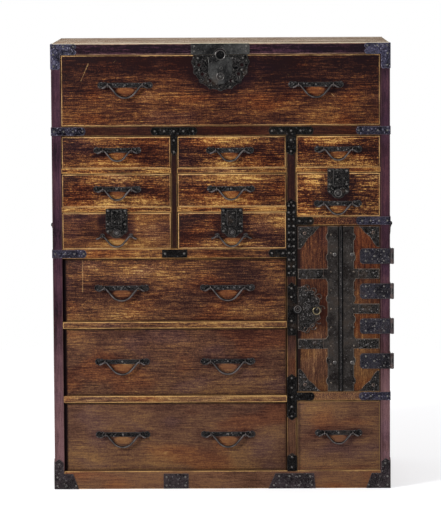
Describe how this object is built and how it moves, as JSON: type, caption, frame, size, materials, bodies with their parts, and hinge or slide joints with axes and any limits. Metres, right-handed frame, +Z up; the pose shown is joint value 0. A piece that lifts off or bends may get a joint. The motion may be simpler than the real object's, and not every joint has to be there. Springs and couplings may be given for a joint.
{
  "type": "merchant's chest with drawers and a safe door",
  "caption": "Free-standing wooden drawer chest with iron fittings, bail handles, a hinged safe door and a great lock plate on the top drawer.",
  "frame": {"origin": "centre of the case's footprint, on the floor", "axes": "+Z up, +X to the right seen from the front, -Y towards the user: drawers pull out along -Y"},
  "size_m": [0.8064, 0.4132, 1.036],
  "materials": {
    "frame_wood": "dark red-brown wiped lacquer, worn at the edges",
    "rail_wood": "red-brown wiped lacquer, worn to ochre",
    "drawer_wood": "brown wiped lacquer with ochre wear along the grain",
    "door_wood": "red-brown wiped lacquer, upright grain",
    "raw_wood": "unfinished softwood, aged",
    "plate_iron": "blackened wrought iron plate, matt with rubbed edges",
    "bail_iron": "blackened forged iron rod, polished by use",
    "nail_iron": "forged nail heads, rubbed bright on top",
    "ring_metal": "old dull brass ring"
  },
  "bodies": {
    "case": {"side_boards": "frame_wood", "top_board": "frame_wood", "base": "rail_wood", "back_boards": "raw_wood", "shelves": "rail_wood", "partitions": "frame_wood", "rails": "rail_wood", "runners": "raw_wood", "frame_straps": "plate_iron", "frame_nails": "nail_iron", "hinge_leaves": "plate_iron", "side_bail_plates": "plate_iron"},
    "drawer_top": {"drawer_top": "drawer_wood", "fittings_top": "plate_iron"},
    "bail_top_left": {"bail_top_left": "bail_iron"},
    "bail_top_right": {"bail_top_right": "bail_iron"},
    "drawer_left_1": {"drawer_left_1": "drawer_wood", "fittings_left_1": "plate_iron"},
    "bail_left_1": {"bail_left_1": "bail_iron"},
    "drawer_left_2": {"drawer_left_2": "drawer_wood", "fittings_left_2": "plate_iron"},
    "bail_left_2": {"bail_left_2": "bail_iron"},
    "drawer_left_3": {"drawer_left_3": "drawer_wood", "fittings_left_3": "plate_iron"},
    "bail_left_3": {"bail_left_3": "bail_iron"},
    "drawer_centre_1": {"drawer_centre_1": "drawer_wood", "fittings_centre_1": "plate_iron"},
    "bail_centre_1": {"bail_centre_1": "bail_iron"},
    "drawer_centre_2": {"drawer_centre_2": "drawer_wood", "fittings_centre_2": "plate_iron"},
    "bail_centre_2": {"bail_centre_2": "bail_iron"},
    "drawer_centre_3": {"drawer_centre_3": "drawer_wood", "fittings_centre_3": "plate_iron"},
    "bail_centre_3": {"bail_centre_3": "bail_iron"},
    "drawer_right_1": {"drawer_right_1": "drawer_wood", "fittings_right_1": "plate_iron"},
    "bail_right_1": {"bail_right_1": "bail_iron"},
    "drawer_right_2": {"drawer_right_2": "drawer_wood", "fittings_right_2": "plate_iron"},
    "bail_right_2": {"bail_right_2": "bail_iron"},
    "drawer_lower_1": {"drawer_lower_1": "drawer_wood", "fittings_lower_1": "plate_iron"},
    "bail_lower_1_left": {"bail_lower_1_left": "bail_iron"},
    "bail_lower_1_right": {"bail_lower_1_right": "bail_iron"},
    "drawer_lower_2": {"drawer_lower_2": "drawer_wood", "fittings_lower_2": "plate_iron"},
    "bail_lower_2_left": {"bail_lower_2_left": "bail_iron"},
    "bail_lower_2_right": {"bail_lower_2_right": "bail_iron"},
    "drawer_lower_3": {"drawer_lower_3": "drawer_wood", "fittings_lower_3": "plate_iron"},
    "bail_lower_3_left": {"bail_lower_3_left": "bail_iron"},
    "bail_lower_3_right": {"bail_lower_3_right": "bail_iron"},
    "drawer_lower_right": {"drawer_lower_right": "drawer_wood", "fittings_lower_right": "plate_iron"},
    "bail_lower_right": {"bail_lower_right": "bail_iron"},
    "bail_side_left": {"bail_side_left": "bail_iron"},
    "bail_side_right": {"bail_side_right": "bail_iron"},
    "safe_door": {"safe_door": "door_wood", "safe_ironwork": "plate_iron"},
    "safe_ring": {"safe_ring": "ring_metal"}
  },
  "joints": [
    {"name": "drawer_top_slide", "type": "slide", "parent": "case", "child": "drawer_top", "axis": [0, -1, 0], "range_m": [0, 0.28]},
    {"name": "bail_top_left_swing", "type": "hinge", "parent": "drawer_top", "child": "bail_top_left", "pos_m": [-0.2195, -0.208, 0.941], "axis": [-1, 0, 0], "range_deg": [0, 100]},
    {"name": "bail_top_right_swing", "type": "hinge", "parent": "drawer_top", "child": "bail_top_right", "pos_m": [0.2195, -0.208, 0.941], "axis": [-1, 0, 0], "range_deg": [0, 100]},
    {"name": "drawer_left_1_slide", "type": "slide", "parent": "case", "child": "drawer_left_1", "axis": [0, -1, 0], "range_m": [0, 0.28]},
    {"name": "bail_left_1_swing", "type": "hinge", "parent": "drawer_left_1", "child": "bail_left_1", "pos_m": [-0.2385, -0.208, 0.791], "axis": [-1, 0, 0], "range_deg": [0, 100]},
    {"name": "drawer_left_2_slide", "type": "slide", "parent": "case", "child": "drawer_left_2", "axis": [0, -1, 0], "range_m": [0, 0.28]},
    {"name": "bail_left_2_swing", "type": "hinge", "parent": "drawer_left_2", "child": "bail_left_2", "pos_m": [-0.2395, -0.208, 0.701], "axis": [-1, 0, 0], "range_deg": [0, 100]},
    {"name": "drawer_left_3_slide", "type": "slide", "parent": "case", "child": "drawer_left_3", "axis": [0, -1, 0], "range_m": [0, 0.28]},
    {"name": "bail_left_3_swing", "type": "hinge", "parent": "drawer_left_3", "child": "bail_left_3", "pos_m": [-0.2415, -0.208, 0.59275], "axis": [-1, 0, 0], "range_deg": [0, 100]},
    {"name": "drawer_centre_1_slide", "type": "slide", "parent": "case", "child": "drawer_centre_1", "axis": [0, -1, 0], "range_m": [0, 0.28]},
    {"name": "bail_centre_1_swing", "type": "hinge", "parent": "drawer_centre_1", "child": "bail_centre_1", "pos_m": [0.021, -0.208, 0.79], "axis": [-1, 0, 0], "range_deg": [0, 100]},
    {"name": "drawer_centre_2_slide", "type": "slide", "parent": "case", "child": "drawer_centre_2", "axis": [0, -1, 0], "range_m": [0, 0.28]},
    {"name": "bail_centre_2_swing", "type": "hinge", "parent": "drawer_centre_2", "child": "bail_centre_2", "pos_m": [0.023, -0.208, 0.701], "axis": [-1, 0, 0], "range_deg": [0, 100]},
    {"name": "drawer_centre_3_slide", "type": "slide", "parent": "case", "child": "drawer_centre_3", "axis": [0, -1, 0], "range_m": [0, 0.28]},
    {"name": "bail_centre_3_swing", "type": "hinge", "parent": "drawer_centre_3", "child": "bail_centre_3", "pos_m": [0.024, -0.208, 0.59275], "axis": [-1, 0, 0], "range_deg": [0, 100]},
    {"name": "drawer_right_1_slide", "type": "slide", "parent": "case", "child": "drawer_right_1", "axis": [0, -1, 0], "range_m": [0, 0.28]},
    {"name": "bail_right_1_swing", "type": "hinge", "parent": "drawer_right_1", "child": "bail_right_1", "pos_m": [0.2705, -0.208, 0.7915], "axis": [-1, 0, 0], "range_deg": [0, 100]},
    {"name": "drawer_right_2_slide", "type": "slide", "parent": "case", "child": "drawer_right_2", "axis": [0, -1, 0], "range_m": [0, 0.28]},
    {"name": "bail_right_2_swing", "type": "hinge", "parent": "drawer_right_2", "child": "bail_right_2", "pos_m": [0.2695, -0.208, 0.66575], "axis": [-1, 0, 0], "range_deg": [0, 100]},
    {"name": "drawer_lower_1_slide", "type": "slide", "parent": "case", "child": "drawer_lower_1", "axis": [0, -1, 0], "range_m": [0, 0.28]},
    {"name": "bail_lower_1_left_swing", "type": "hinge", "parent": "drawer_lower_1", "child": "bail_lower_1_left", "pos_m": [-0.231, -0.201, 0.47075], "axis": [-1, 0, 0], "range_deg": [0, 100]},
    {"name": "bail_lower_1_right_swing", "type": "hinge", "parent": "drawer_lower_1", "child": "bail_lower_1_right", "pos_m": [0.014, -0.201, 0.47075], "axis": [-1, 0, 0], "range_deg": [0, 100]},
    {"name": "drawer_lower_2_slide", "type": "slide", "parent": "case", "child": "drawer_lower_2", "axis": [0, -1, 0], "range_m": [0, 0.28]},
    {"name": "bail_lower_2_left_swing", "type": "hinge", "parent": "drawer_lower_2", "child": "bail_lower_2_left", "pos_m": [-0.231, -0.201, 0.2985], "axis": [-1, 0, 0], "range_deg": [0, 100]},
    {"name": "bail_lower_2_right_swing", "type": "hinge", "parent": "drawer_lower_2", "child": "bail_lower_2_right", "pos_m": [0.014, -0.201, 0.2985], "axis": [-1, 0, 0], "range_deg": [0, 100]},
    {"name": "drawer_lower_3_slide", "type": "slide", "parent": "case", "child": "drawer_lower_3", "axis": [0, -1, 0], "range_m": [0, 0.28]},
    {"name": "bail_lower_3_left_swing", "type": "hinge", "parent": "drawer_lower_3", "child": "bail_lower_3_left", "pos_m": [-0.231, -0.201, 0.1275], "axis": [-1, 0, 0], "range_deg": [0, 100]},
    {"name": "bail_lower_3_right_swing", "type": "hinge", "parent": "drawer_lower_3", "child": "bail_lower_3_right", "pos_m": [0.014, -0.201, 0.1275], "axis": [-1, 0, 0], "range_deg": [0, 100]},
    {"name": "drawer_lower_right_slide", "type": "slide", "parent": "case", "child": "drawer_lower_right", "axis": [0, -1, 0], "range_m": [0, 0.28]},
    {"name": "bail_lower_right_swing", "type": "hinge", "parent": "drawer_lower_right", "child": "bail_lower_right", "pos_m": [0.2705, -0.208, 0.131], "axis": [-1, 0, 0], "range_deg": [0, 100]},
    {"name": "bail_side_left_swing", "type": "hinge", "parent": "case", "child": "bail_side_left", "pos_m": [-0.398, 0, 0.604], "axis": [0, 1, 0], "range_deg": [0, 100]},
    {"name": "bail_side_right_swing", "type": "hinge", "parent": "case", "child": "bail_side_right", "pos_m": [0.398, 0, 0.604], "axis": [0, -1, 0], "range_deg": [0, 100]},
    {"name": "safe_door_hinge", "type": "hinge", "parent": "case", "child": "safe_door", "pos_m": [0.395, -0.201, 0.421], "axis": [0, 0, 1], "range_deg": [0, 170]},
    {"name": "safe_ring_swing", "type": "hinge", "parent": "safe_door", "child": "safe_ring", "pos_m": [0.22, -0.2057, 0.425], "axis": [-1, 0, 0], "range_deg": [0, 90]}
  ]
}
